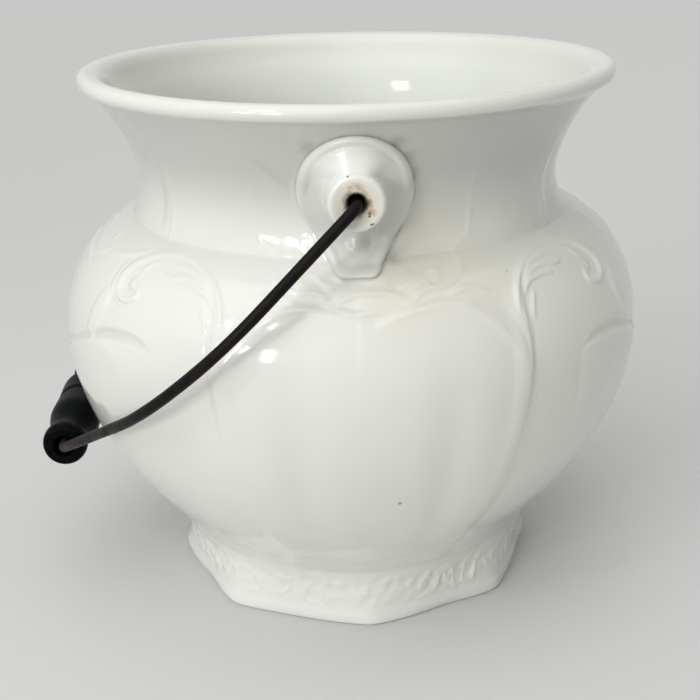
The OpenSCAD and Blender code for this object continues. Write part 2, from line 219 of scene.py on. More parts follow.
# Bail and grip, placed by the part's own joints
joints = {j["name"]: Vector(j["pos_m"]) / MM for j in frame["joints"]}
PIVOT_Z = joints["bail_swing"].z
GRIP_AXIS = joints["grip_turn"]
REACH = math.hypot(GRIP_AXIS.x, PIVOT_Z - GRIP_AXIS.z)
DROP = math.asin((PIVOT_Z - GRIP_AXIS.z) / REACH)
WIRE_R = 2.45
GRIP_HALF = 48.0
GRIP_STATIONS = [(22.2, 0.0), (23.8, 3.0), (24.4, 16.0), (18.4, GRIP_HALF - 13.0), (21.4, GRIP_HALF - 5.0)]
GRIP_END_D = 17.0
GRIP_EASE = 0.997
DISH_R = 5.5
DISH_DEPTH = 5.0
DISH_EASE = 0.3
DISH_SINK = 0.2
BORE_INSET = 2.0
GRIP_PLAY = 0.3
GRIP_BORE_R = WIRE_R + GRIP_PLAY
PIN_GAP = 1.5
LEG_GAP = 0.5

# Corners of half the bail after its pin, as (out from the middle, away from the pins' line)
BAIL_CORNERS = [(TIP_Y + LEG_GAP + WIRE_R, 0.0), (BELLY_R + 6.0, 73.0), (BELLY_R - 12.5, REACH - 70.0),
                (GRIP_HALF + 1.7, REACH)]
# Bends at the pin's end, which has none, and at the corners
BAIL_BENDS = [0.0, 4.2, 72.0, 105.0, 9.6]
BEND_SHARE = 0.48
BEND_STEP = 4.0
WIRE_STEP = 3.0

# The wire is a little thin and uneven from drawing, with eased ends
WIRE_TRIM = 0.985
WIRE_WAVER = 0.012
WIRE_WAVER_SIZE = 38.0
WIRE_END = 1.2
LEAST_END = 0.09


# Small helpers
def smooth(t):
    c = np.clip(t, 0.0, 1.0)
    return c * c * (3 - 2 * c)


def mix(a, b, t):
    return a + (b - a) * t


def larger(a, b, soft):
    """The larger of two heights, with their corner filled in over a width of about soft."""
    h = np.clip(0.5 + 0.5 * (a - b) / soft, 0, 1)
    return mix(b, a, h) + soft * h * (1 - h)


def outer_r(z):
    """Radius of the jar's outside at height z, without its panels and scallops."""
    z = np.asarray(z, float)
    foot = COVE_R + (FOOT_R - COVE_R) * (1 - np.clip(z / COVE_Z, 0, 1)) ** 2
    waist = COVE_R + (WAIST_R - COVE_R) * np.clip((z - COVE_Z) / (WAIST_Z - COVE_Z), 0, 1) ** 2
    bowl = BELLY_R - (BELLY_R - WAIST_R) * np.clip((BELLY_Z - z) / (BELLY_Z - WAIST_Z), 0, 1) ** 2
    turn = math.acos(1 - (BELLY_R - CREASE_R) / SHOULDER_TURN)
    shoulder_h = (CREASE_Z - BELLY_Z) / math.sin(turn)
    up = np.clip((z - BELLY_Z) / shoulder_h, 0, math.sin(turn))
    shoulder = BELLY_R - SHOULDER_TURN * (1 - np.sqrt(1 - up * up))
    dip = NECK_R + (CREASE_R - NECK_R) * np.clip((NECK_Z - z) / (NECK_Z - CREASE_Z), 0, 1) ** 2
    rise = np.clip((z - NECK_Z) / (NECK_TOP_Z - NECK_Z), 0, 1)
    flare = NECK_R + (LIP_RING_R - NECK_R) * rise**FLARE_POWER
    return np.select([z < COVE_Z, z < WAIST_Z, z < BELLY_Z, z < CREASE_Z, z < NECK_Z],
                     [foot, waist, bowl, shoulder, dip], flare)


def around(r, a, z):
    """Point on the jar at azimuth a in degrees, from the front, -Y, towards +X."""
    turn = np.radians(a)
    return np.stack([r * np.sin(turn), -r * np.cos(turn), z + 0 * r], axis=-1)


def front_angle(a):
    """Angle in degrees from the middle of the nearest front or back panel."""
    return np.abs((a - PATTERN_TURN + 450) % 180 - 90)


def skin(name, rings, start=None, end=None):
    """Closed mesh over rings of points in millimetres, with a pole at each end, or else its ends joined."""
    n, m = rings.shape[:2]
    points = rings.reshape(-1, 3)
    columns = np.arange(m)
    ahead = (columns + 1) % m
    last = n if start is None else n - 1
    quads = [np.stack([i * m + columns, i * m + ahead, (i + 1) % n * m + ahead, (i + 1) % n * m + columns], 1)
             for i in range(last)]
    faces = np.concatenate(quads).tolist()
    if start is not None:
        points = np.concatenate([points, [start, end]])
        faces += [[n * m, b, a] for a, b in zip(columns.tolist(), ahead.tolist())]
        top = (n - 1) * m
        faces += [[n * m + 1, top + a, top + b] for a, b in zip(columns.tolist(), ahead.tolist())]
    a, b, c = (points[[f[k] for f in faces]] for k in range(3))
    if np.einsum("ij,ij->", a, np.cross(b, c)) < 0:
        faces = [f[::-1] for f in faces]
    mesh = bpy.data.meshes.new(name)
    mesh.from_pydata((points * MM).tolist(), [], faces)
    mesh.polygons.foreach_set("use_smooth", [True] * len(mesh.polygons))
    mesh.update()
    piece = bpy.data.objects.new(name, mesh)
    bpy.context.scene.collection.objects.link(piece)
    return piece


def store(piece, name, values):
    """Keeps one number for each vertex, for a material to read."""
    attribute = piece.data.attributes.new(name, "FLOAT", "POINT")
    full = np.zeros(len(piece.data.vertices), np.float32)
    full[: values.size] = values.ravel()
    attribute.data.foreach_set("value", full)


def ripple(a, b, scale, seed):
    """Smooth wandering noise, mostly from -1 to 1, on the plane of a and b, about scale wide."""
    waves = np.random.default_rng(seed)
    total = np.zeros(np.broadcast(a, b).shape)
    count = 14
    for _ in range(count):
        heading = waves.uniform(0, 2 * math.pi)
        pitch = scale * waves.uniform(0.7, 1.6)
        phase = waves.uniform(0, 2 * math.pi)
        total += np.sin(2 * math.pi * (a * math.cos(heading) + b * math.sin(heading)) / pitch + phase)
    return total / math.sqrt(count)


def soften(field, passes):
    """Eases a field of heights over the jar, which closes on itself along its rows."""
    for _ in range(passes):
        field = (np.roll(field, 1, 1) + 2 * field + np.roll(field, -1, 1)) / 4
        padded = np.concatenate([field[:1], field, field[-1:]])
        field = (padded[:-2] + 2 * field + padded[2:]) / 4
    return field


# The moulded ornament: strokes in angle from a front panel's middle and height, mirrored round the jar
def spline(points, steps=8):
    """Smooth line through control points, whatever they hold."""
    p = np.array(points, float)
    p = np.concatenate([[2 * p[0] - p[1]], p, [2 * p[-1] - p[-2]]])
    t = np.linspace(0, 1, steps, endpoint=False)[:, None]
    out = []
    for i in range(1, len(p) - 2):
        a, b, c, d = p[i - 1 : i + 3]
        out.append(0.5 * (2 * b + (c - a) * t + (2 * a - 5 * b + 4 * c - d) * t * t
                          + (3 * b - a - 3 * c + d) * t**3))
    return np.concatenate(out + [p[-2:-1]])


arc_z = np.linspace(0, NECK_TOP_Z, 2000)
arc_step = np.hypot(np.gradient(outer_r(arc_z)), np.gradient(arc_z))
arc_length = np.cumsum(arc_step)


def unrolled(angle, z):
    """Place on the jar's surface in millimetres: round from a front panel's middle, and up the outline."""
    return np.radians(angle) * outer_r(z), np.interp(z, arc_z, arc_length)


def rounded(away):
    """Profile of a stroke from 1 at its middle to 0 at its edge: a round ridge."""
    return np.cos(np.clip(away, 0, 1) * math.pi / 2) ** 2


def flat_topped(away):
    """Profile of a stroke from 1 at its middle to 0 at its edge: a level band with eased sides."""
    return smooth((1 - away) / 0.4)


def stroke(across, up, points, profile=rounded):
    """Height of a stroke along control points of (angle, z, half width, height)."""
    line = spline(points)
    x, y = unrolled(line[:, 0], line[:, 1])
    width, height = np.maximum(line[:, 2], 0.05), line[:, 3]
    reach = width.max() + 0.5
    near = (across > x.min() - reach) & (across < x.max() + reach)
    near &= (up > y.min() - reach) & (up < y.max() + reach)
    px, py = across[near], up[near]
    best = np.zeros(px.shape)
    for i in range(len(x) - 1):
        dx, dy = x[i + 1] - x[i], y[i + 1] - y[i]
        t = np.clip(((px - x[i]) * dx + (py - y[i]) * dy) / (dx * dx + dy * dy + 1e-9), 0, 1)
        away = np.hypot(px - x[i] - t * dx, py - y[i] - t * dy)
        w = mix(width[i], width[i + 1], t)
        h = mix(height[i], height[i + 1], t)
        best = np.maximum(best, profile(away / w) * np.abs(h))
    out = np.zeros(across.shape)
    out[near] = best
    return out


# Raised strokes: scroll arms, leaves and ridges as (angle, z, half width, height)
RAISED = [
    # Scroll arm: from the rib's top over the leaf and round into its outer curl
    [(27.9, 163, 1.4, 0.5), (28.4, 167.4, 2.0, 1.2), (29.8, 171.8, 2.0, 1.4), (32.6, 176, 2.0, 1.4),
     (36.2, 179.2, 1.9, 1.3), (40.8, 181.2, 1.9, 1.3), (46, 181.8, 1.9, 1.3), (50.6, 180.4, 2.0, 1.3),
     (53.9, 177.8, 2.2, 1.4), (55.9, 174, 2.5, 1.5), (56.3, 169.6, 2.7, 1.6), (55.2, 165.6, 2.7, 1.6),
     (53, 163.6, 2.4, 1.5), (50.6, 164, 2.1, 1.4), (49.2, 166.2, 1.8, 1.3), (49.8, 168.8, 1.4, 1.0)],
    # Inner thread of the arm near its curl
    [(46, 179.2, 0.9, 0.3), (49.6, 177.6, 1.3, 0.8), (51.2, 175, 1.4, 0.9), (51, 172.8, 1.0, 0.6)],
    # Leaf of three lobes inside the arm
    [(32.8, 174.4, 1.1, 0.8), (35.6, 177, 1.5, 1.6), (39.4, 178.4, 1.5, 1.6), (43, 178.7, 1.0, 0.9)],
    [(31.2, 171.4, 1.1, 0.9), (34.4, 174.6, 1.5, 1.6), (38.5, 175.9, 1.5, 1.7), (42, 175, 1.6, 1.7),
     (43.9, 175.2, 1.7, 1.8)],
    [(30.4, 167.8, 1.1, 0.7), (32.8, 171.8, 1.6, 1.5), (36.4, 173, 1.6, 1.5), (39.9, 172.5, 1.3, 1.1)],
    # Bud below the leaf
    [(30.9, 158.6, 0.9, 0.4), (31.2, 162, 1.6, 0.9), (32, 165.6, 1.7, 1.0), (32.9, 168.2, 1.1, 0.6)],
    # Branch from the arm's crown to the side's neck line, with its hook
    [(54.5, 180.2, 1.2, 0.7), (59.4, 177.8, 1.6, 1.1), (64, 176.2, 1.7, 1.2), (68.6, 176.2, 1.8, 1.2),
     (72.4, 178, 1.6, 1.1), (73.4, 181, 1.4, 1.0), (70.8, 182.4, 1.0, 0.6)],
    [(68.4, 176.2, 1.2, 0.8), (74, 173.6, 1.8, 1.2), (80, 174.8, 1.9, 1.2), (85, 178.6, 1.6, 1.1),
     (90, 180.4, 1.5, 1.0)],
    [(76, 168, 1.2, 0.6), (81, 170, 1.9, 1.1), (86, 171.6, 1.8, 1.1), (90, 174, 1.7, 1.1)],
    # Leaves round the lug's tail
    [(0, 174.6, 2.2, 1.1), (3, 174.6, 2.3, 1.2), (6, 172.4, 1.8, 0.9), (8.2, 169.6, 1.0, 0.4)],
    [(0, 168.4, 2.0, 1.0), (3.6, 168.2, 2.0, 1.0), (7, 170.4, 1.8, 1.0), (9.6, 173.6, 1.2, 0.5)],
    [(5.2, 176, 1.3, 0.7), (8.6, 177.6, 1.9, 1.1), (11.6, 180.4, 1.8, 1.1), (14.2, 179.8, 1.6, 1.0),
     (13.4, 177, 1.2, 0.7)],
    [(8.4, 173.6, 1.2, 0.6), (11.6, 175, 1.8, 0.9), (15.2, 175.4, 1.9, 0.9), (18.6, 178, 1.8, 0.7),
     (20.6, 182, 1.8, 0.6), (20.8, 185.2, 1.6, 0.5), (22.6, 187, 1.6, 0.5), (25, 189.6, 1.4, 0.4)],
    [(13.8, 170.8, 1.0, 0.4), (17, 173.2, 1.7, 0.9), (20.4, 173.6, 1.7, 0.9), (23, 171, 1.2, 0.5)],
    # Line along the front panel's humps
    [(1.6, 165, 1.2, 0.3), (6, 167.6, 1.8, 0.6), (13.7, 170.2, 2.2, 0.7), (19.4, 166, 2.4, 0.5),
     (23.4, 157.4, 2.4, 0.25), (26.2, 146, 2.0, 0.1)],
    # Seams up the neck, which start under the lugs' sprays and over the scrolls
    [(25.4, 188.5, 1.6, 0.25), (26.4, 197, 2.2, 0.2), (26.8, 208, 2.6, 0.15), (27, 222, 2.8, 0.08),
     (27, 230, 2.4, 0.02)],
    [(53.6, 184.4, 1.8, 0.4), (53.8, 193, 2.8, 0.4), (54.6, 206, 3.4, 0.25), (55.4, 222, 3.6, 0.1),
     (55.6, 230, 3.0, 0.02)],
    # Scrolls of the foot, above its plain band
    [(22.4, 22.6, 0.9, 0.3), (23.4, 17, 1.2, 0.6), (22, 11, 1.1, 0.6), (17, 9.4, 1.0, 0.4),
     (12, 9.8, 0.8, 0.2)],
    [(31, 11.4, 0.9, 0.4), (28.4, 12.2, 1.2, 0.6), (25.8, 16, 1.3, 0.6), (27.4, 20.4, 1.2, 0.5),
     (30.4, 20.6, 0.9, 0.3)],
    [(36, 22, 0.9, 0.3), (38.4, 17, 1.3, 0.6), (36.4, 12, 1.2, 0.6), (40.6, 9.4, 0.9, 0.3)],
    [(49, 21, 0.9, 0.3), (46, 16, 1.3, 0.6), (49.6, 11, 1.2, 0.5)],
    [(56, 22, 0.9, 0.3), (58.6, 16.6, 1.3, 0.6), (56.4, 11.4, 1.2, 0.6), (61, 9.2, 0.9, 0.3)],
    [(69, 21.6, 0.9, 0.3), (66, 16.4, 1.3, 0.6), (69.4, 11.4, 1.2, 0.6), (74, 12.4, 1.0, 0.5),
     (76, 18, 1.1, 0.5)],
    [(82, 22, 0.9, 0.3), (84.8, 17, 1.3, 0.6), (82.6, 12, 1.1, 0.6), (87, 9.6, 0.9, 0.3)],
]
# The broad flat band from the scroll's curl down to the side panel's crest
BAND = [(57.8, 167.5, 1.6, 0.4), (58.8, 160, 4.6, 1.0), (60, 152, 5.2, 1.1), (60.8, 146.5, 4.2, 1.0),
        (61, 144.4, 1.6, 0.4)]
# The hollow over a side panel, which follows the panel's tilt
SIDE_HOLLOW = [(41.5, 143.5, 1.6, 0.1), (45.8, 146.6, 3.2, 0.75), (51, 146.4, 3.4, 0.9),
               (57.5, 143.6, 3.2, 0.8), (66.6, 135.8, 2.8, 0.6), (76, 127.4, 2.4, 0.4), (90, 119, 2.0, 0.2)]
# Sunk strokes: the crease beside the rib, the curl's eye and a crease of the foot
SUNK = [
    [(30.4, 158, 1.2, 0.1), (29.9, 152, 1.6, 0.35), (29.3, 144, 1.8, 0.5), (28.8, 134, 1.8, 0.4),
     (28.2, 120, 1.6, 0.1)],
    [(59, 176, 0.8, 0.3), (59.6, 170, 1.2, 0.6), (57.8, 163.4, 1.2, 0.6), (53.6, 160.4, 1.0, 0.4)],
    [(51, 167.4, 1.0, 0.6), (52.6, 167.4, 1.3, 0.8), (53.4, 170, 1.2, 0.7), (52.6, 172.4, 0.8, 0.4)],
    [(20.6, 24, 0.8, 0.4), (20.9, 17, 1.0, 0.6), (18.8, 12.4, 1.0, 0.6), (12.4, 7.6, 0.9, 0.4),
     (8.2, 2.4, 0.7, 0.2)],
]


def panel_depth(angle, z, shape):
    """Depth inside a panel's outline as a share of its edges' widths, negative outside it."""
    widen = np.sin(math.pi / 2 * np.clip((z - WAIST_Z) / (BELLY_Z - WAIST_Z), 0, 1))
    edge = mix(shape["low"], shape["half"], widen)
    past = np.clip((angle - shape["crest"]) / (shape["half"] - shape["crest"]), 0, 1)
    bend = np.hypot(angle, shape["meet"]) - shape["meet"]
    full = math.hypot(shape["crest"], shape["meet"]) - shape["meet"]
    dip = mix(shape["dip_z"], shape["crest_z"], np.sin(math.pi / 2 * np.clip(bend / full, 0, 1)))
    fall = shape["crest_z"] - CREST_FALL * (1 - np.sqrt(1 - past * past))
    top = np.where(angle < shape["crest"], dip, fall)
    ease_from = CREST_EASE * shape["crest"]
    eased = smooth((angle - ease_from) / (shape["half"] - ease_from))
    top_edge = mix(shape["top_edge"], shape["side_edge"], eased)
    from_side = np.radians(edge - angle) * BELLY_R / shape["side_edge"]
    return -larger(-from_side, (z - top) / top_edge, CORNER_SOFT)


def side_drop(a):
    """Drop of a side panel's top: right down and left up, as from a mould set askew."""
    return SIDE_TILT * np.sign(np.sin(np.radians(a - PATTERN_TURN)))


def panels(a, z):
    """Rise of the bowl's panels, their flutes and the broad panels of the neck, in millimetres."""
    front = front_angle(a)
    inside = np.maximum(panel_depth(front, z, FRONT), panel_depth(90 - front, z + side_drop(a), SIDE))
    fade = smooth((z - COVE_Z) / (WAIST_Z - COVE_Z))
    along = np.clip((z - WAIST_Z) / (FRONT["dip_z"] - WAIST_Z), 0, 1)
    flute = np.exp(-(((front - FLUTE_AT) / FLUTE_WIDTH) ** 2)) * np.sin(math.pi * along)
    on_neck = smooth((z - CREASE_Z) / NECK_FADE_LOW) * smooth((NECK_TOP_Z - z) / NECK_FADE_HIGH)
    past = (front - NECK_SEAM) / (90 - NECK_SEAM)
    facet = NECK_STEP * smooth(past / STEP_EASE) * (1 - np.clip(past, 0, 1)) * on_neck
    return PANEL_RISE * smooth(inside + 0.5) * fade - FLUTE_DEPTH * flute - facet + rib(front, z)


def rib(front, z):
    """Rise of the rib up a front panel's edge: steep outside and soft inside."""
    level, outer, rise = np.array(RIB).T
    within = np.radians(np.interp(z, level, outer) - front) * outer_r(z)
    inner_slope = 1 - smooth((within - RIB_TOP) / RIB_SLOPE)
    return np.interp(z, level, rise) * smooth(within / RIB_EDGE) * inner_slope


def carving(a, z):
    """Height of the moulded scrolls, leaves and foot's shell work, softened as by a thick glaze."""
    across, up = unrolled(front_angle(a), z)
    raised = np.zeros(a.shape)
    for points in RAISED:
        raised = np.maximum(raised, stroke(across, up, points))
    raised = np.maximum(raised, stroke(across, up, BAND, flat_topped))
    askew = unrolled(front_angle(a), z + side_drop(a))
    sunk = stroke(*askew, SIDE_HOLLOW)
    for points in SUNK:
        sunk = np.maximum(sunk, stroke(across, up, points))
    return soften(raised - sunk + shell_work(a, z), 1)


def shell_work(a, z):
    """Broken curls round the foot, between a plain band at its edge and the waist."""
    round_foot = np.radians(a) * FOOT_R
    curls = np.exp(-((ripple(round_foot, z, CURL_SIZE, seed=3) / CURL_WIDTH) ** 2))
    pebbles = np.clip(ripple(round_foot, z, PEBBLE_SIZE, seed=5), 0, 1)
    strong = smooth(0.5 + 0.9 * ripple(round_foot, 0 * z, PLAIN_SIZE, seed=8))
    edge = SHELL_EDGE + SHELL_WAVER * ripple(round_foot, 0 * z, WAVER_SIZE, seed=6)
    band = smooth((z - edge) / SHELL_START) * smooth((SHELL_TOP - z) / SHELL_END)
    return band * mix(PLAIN_SHARE, 1.0, strong) * (CURL_RISE * curls + PEBBLE_RISE * pebbles - SHELL_SINK)


def foot_edge(a):
    """Swing of the foot's edge: soft points, and a little waver from the hand finishing."""
    s = np.abs(np.sin(np.radians(FOOT_POINTS / 2 * (a - PATTERN_TURN))))
    whole = math.sqrt(1 + POINT_SOFT**2) - POINT_SOFT
    wave = 1 - 2 * (np.sqrt(s * s + POINT_SOFT**2) - POINT_SOFT) / whole
    return SCALLOP * wave + EDGE_WAVER * ripple(np.radians(a) * FOOT_R, 0 * a, WAVER_SIZE, seed=9)


def pad_inside(x, z):
    """Depth inside the pad's drop-shaped outline, with x and z from the pad's middle."""
    x, down = np.abs(x), -z
    lean = (PAD_R - TAIL_R) / TAIL_DROP
    side = math.sqrt(1 - lean * lean)
    k = -lean * x + side * down
    head = np.hypot(x, down) - PAD_R
    tail = np.hypot(x, down - TAIL_DROP) - TAIL_R
    flank = side * x + lean * down - PAD_R
    drop = np.where(k < 0, head, np.where(k > side * TAIL_DROP, tail, flank))
    return -larger(drop, down - (TAIL_DROP + TAIL_R - TAIL_FLAT), TAIL_SOFT)


def slip_fillet(a, z):
    """Slip smoothed on round both pads, and the distance from their outline, positive outside it."""
    turn = np.radians(a)
    off = np.where(np.cos(turn) > 0, np.sin(turn), -np.sin(turn)) * outer_r(z)
    away = -pad_inside(off, z - PAD_Z)
    away = np.where(np.abs(np.cos(turn)) > 0.5, away, FAR)
    outside = np.clip(1 - away / SLIP_SPREAD, 0, 1) ** 2
    under = smooth(1 + away / SLIP_UNDER)
    filled = crease_fill(z) * smooth(1 - away / FILL_SPREAD)
    return SLIP_FILLET * np.where(away > 0, outside, under) + filled, away


def crease_fill(z):
    """Clay worked into the crease below the neck, so that a lug's tail lies in a smooth sweep."""
    return CREASE_FILL * np.exp(-(((z - CREASE_FILL_Z) / CREASE_FILL_WIDTH) ** 2))


def sagged(points, a):
    """Rings near the rim, lowered at the front and back."""
    drop = smooth((points[..., 2] - SAG_FROM) / (JAR_H - SAG_FROM)) * SAG * np.cos(np.radians(a)) ** 2
    points[..., 2] -= drop
    return points


def azimuths(count):
    """Azimuths in degrees for the jar's columns, closest together across the scrolls."""
    fine = np.linspace(0, 360, 7201)
    front = front_angle(fine)
    dense = np.where((front > SCROLLS_FROM) & (front < SCROLLS_TO), SCROLL_COLUMNS, 1.0)
    share = np.concatenate([[0], np.cumsum(dense[:-1])])
    return np.interp(np.arange(count) / count * share[-1], share, fine)


def jar():
    """The moulded jar in one closed mesh: underside, foot, panelled bowl, neck, lip and smooth inside."""
    columns = 900
    a = azimuths(columns)
    heights = np.concatenate([
        np.linspace(FOOT_ROUND, COVE_Z, 32, endpoint=False),
        np.linspace(COVE_Z, WAIST_Z, 8, endpoint=False),
        np.linspace(WAIST_Z, BELLY_Z, 60, endpoint=False),
        np.linspace(BELLY_Z, CREASE_Z, 94, endpoint=False),
        np.linspace(CREASE_Z, NECK_Z, 16, endpoint=False),
        np.linspace(NECK_Z, NECK_TOP_Z - LIP_BLEND, 36),
    ])
    angle, z = np.meshgrid(a, heights)
    carved = carving(angle, z)
    fillet, away = slip_fillet(angle, z)
    edge = foot_edge(a)
    swing = edge[None, :] * np.clip(1 - z / COVE_Z, 0, 1)
    bead = FOOT_BEAD * np.exp(-(((z - FOOT_BEAD_Z) / FOOT_BEAD_WIDTH) ** 2))
    waist = WAIST_FILL * np.exp(-(((z - WAIST_FILL_Z) / WAIST_FILL_WIDTH) ** 2))
    uneven = UNEVEN * ripple(np.radians(angle) * BELLY_R, z, UNEVEN_SIZE, seed=12) - TRIM
    moulded = outer_r(z) + panels(angle, z) + carved + fillet
    outside = around(moulded + swing + bead + waist + uneven, angle, z)

    rings = []
    relief = []
    ring_r = FOOT_R - SCALLOP - FOOT_RING
    roof_r = ring_r - HOLLOW_DRAFT

    def add(r, level):
        rings.append(around(r + 0 * a, a, level))
        relief.append(0 * a)

    for share in (0.25, 0.5, 0.75, 0.93):
        add(roof_r * share, FOOT_HOLLOW)
    for t in np.linspace(0, 1, 6):
        add(mix(roof_r, ring_r, t), mix(FOOT_HOLLOW - ROOF_EASE, SOLE_EASE, t))
    add(ring_r + SOLE_EASE, 0.0)
    add(ring_r + 0.5 * FOOT_RING, 0.0)
    sole_bead = FOOT_BEAD * math.exp(-(((FOOT_ROUND - FOOT_BEAD_Z) / FOOT_BEAD_WIDTH) ** 2))
    for t in np.linspace(0, math.pi / 2, 7)[:-1]:
        lift = FOOT_ROUND * (1 - math.cos(t))
        add(outer_r(lift) + edge + sole_bead - TRIM - FOOT_ROUND * (1 - math.sin(t)), lift)
    first = len(rings)
    rings.extend(outside)
    relief.extend(carved)
    waver = 1 + LIP_WAVER * ripple(np.radians(a) * LIP_RING_R, 0 * a, LIP_WAVER_SIZE, seed=13)
    for t in np.linspace(LIP_START, math.pi / 2, LIP_RINGS):
        hang = LIP_HANG if t < 0 else 1.0
        out = LIP_R * np.minimum(waver, 1.0) * math.cos(t)
        add(LIP_RING_R + out, LIP_RING_Z + LIP_R * hang * math.sin(t))
    for inward, down in spline(RIM_INSIDE, 4)[1:]:
        add(LIP_RING_R - inward, JAR_H - down)
    for level in np.linspace(NECK_TOP_Z - LIP_R, NECK_Z, 16):
        blend = smooth((NECK_TOP_Z - LIP_R - level) / RIM_FADE)
        add(outer_r(level) - mix(RIM_WALL, WALL, blend), level)
    for level in np.linspace(NECK_Z, BELLY_Z, 24)[1:]:
        add(outer_r(level) - WALL, level)
    inner_belly = BELLY_R - WALL
    for level in np.linspace(BELLY_Z, FLOOR_Z, 28)[1:-1]:
        fall = ((BELLY_Z - level) / (BELLY_Z - FLOOR_Z)) ** 2
        add(inner_belly - (inner_belly - FLOOR_R) * fall, level)
    for share in (0.98, 0.9, 0.7, 0.45, 0.2):
        add(FLOOR_R * share, FLOOR_Z + 0.4 * (share > 0.95))
    piece = skin("jar", sagged(np.array(rings), a), (0, 0, FOOT_HOLLOW), (0, 0, FLOOR_Z))
    store(piece, "relief", np.array(relief))
    seam = np.zeros((len(rings), columns))
    seam[first : first + len(heights)] = np.exp(-(((away - SEAM_OUT) / SEAM_WIDTH) ** 2))
    store(piece, "pad_seam", seam)
    inside = np.zeros((len(rings), columns))
    inside[first + len(heights) + LIP_RINGS :] = 1.0
    store(piece, "inside", inside)
    return piece


# The lugs
def pad_reach(turn):
    """Distance from the boss's axis to the pad's outline along each heading."""
    low, high = np.zeros(turn.shape), np.full(turn.shape, PAD_R + TAIL_DROP + TAIL_R)
    for _ in range(40):
        mid = (low + high) / 2
        within = pad_inside(mid * np.cos(turn), mid * np.sin(turn) - BOSS_DROP) > 0
        low, high = np.where(within, mid, low), np.where(within, high, mid)
    return low


def bump(x, z, middle, half):
    """A low rounded swelling from 1 at its middle to 0 at its half sizes."""
    away = np.hypot((x - middle[0]) / half[0], (z - middle[1]) / half[1])
    return np.clip(1 - away * away, 0, 1) ** 1.5


def pad_lift(x, z):
    """Height of the pad over the neck: a beaded rim, a shallow groove, and the leaf under the boss."""
    depth = pad_inside(x, z - BOSS_DROP)
    rim = np.sqrt(np.clip(1 - (1 - np.clip(depth / RIM_ROUND, 0, 1)) ** 2, 0, 1))
    crown = smooth((z - CROWN_FROM) / CROWN_SPREAD)
    groove = GROOVE * smooth((depth - RIM_ROUND) / GROOVE_SPREAD) * (1 - crown)
    swelling = sum(rise * bump(x, z, middle, half) for middle, half, rise in SWELLINGS)
    return mix(PAD_EDGE, PAD_T, rim) - groove + swelling


